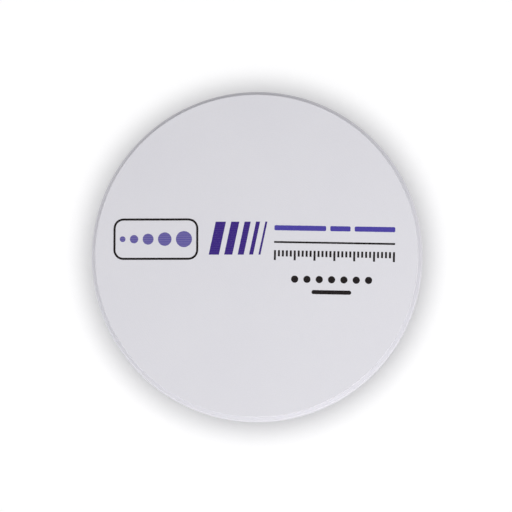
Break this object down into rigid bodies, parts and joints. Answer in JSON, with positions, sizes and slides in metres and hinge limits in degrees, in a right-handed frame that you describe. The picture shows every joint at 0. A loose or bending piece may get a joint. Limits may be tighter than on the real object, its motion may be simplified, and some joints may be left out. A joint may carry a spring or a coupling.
{
  "type": "dental milling disc",
  "caption": "Round white ceramic blank with flat faces and a wider clamping collar round its middle, for milling dental crowns.",
  "frame": {"origin": "centre of the disc, half way up the collar", "axes": "+Z along the disc's axis, out of the upper, printed face; +X to the right of the print and +Y to its top"},
  "size_m": [0.0984, 0.0984, 0.02],
  "materials": {
    "zirconia": "matte",
    "violet_ink": "matte",
    "dark_ink": "matte"
  },
  "bodies": {
    "root": {"milling_disc": "zirconia"}
  },
  "joints": []
}
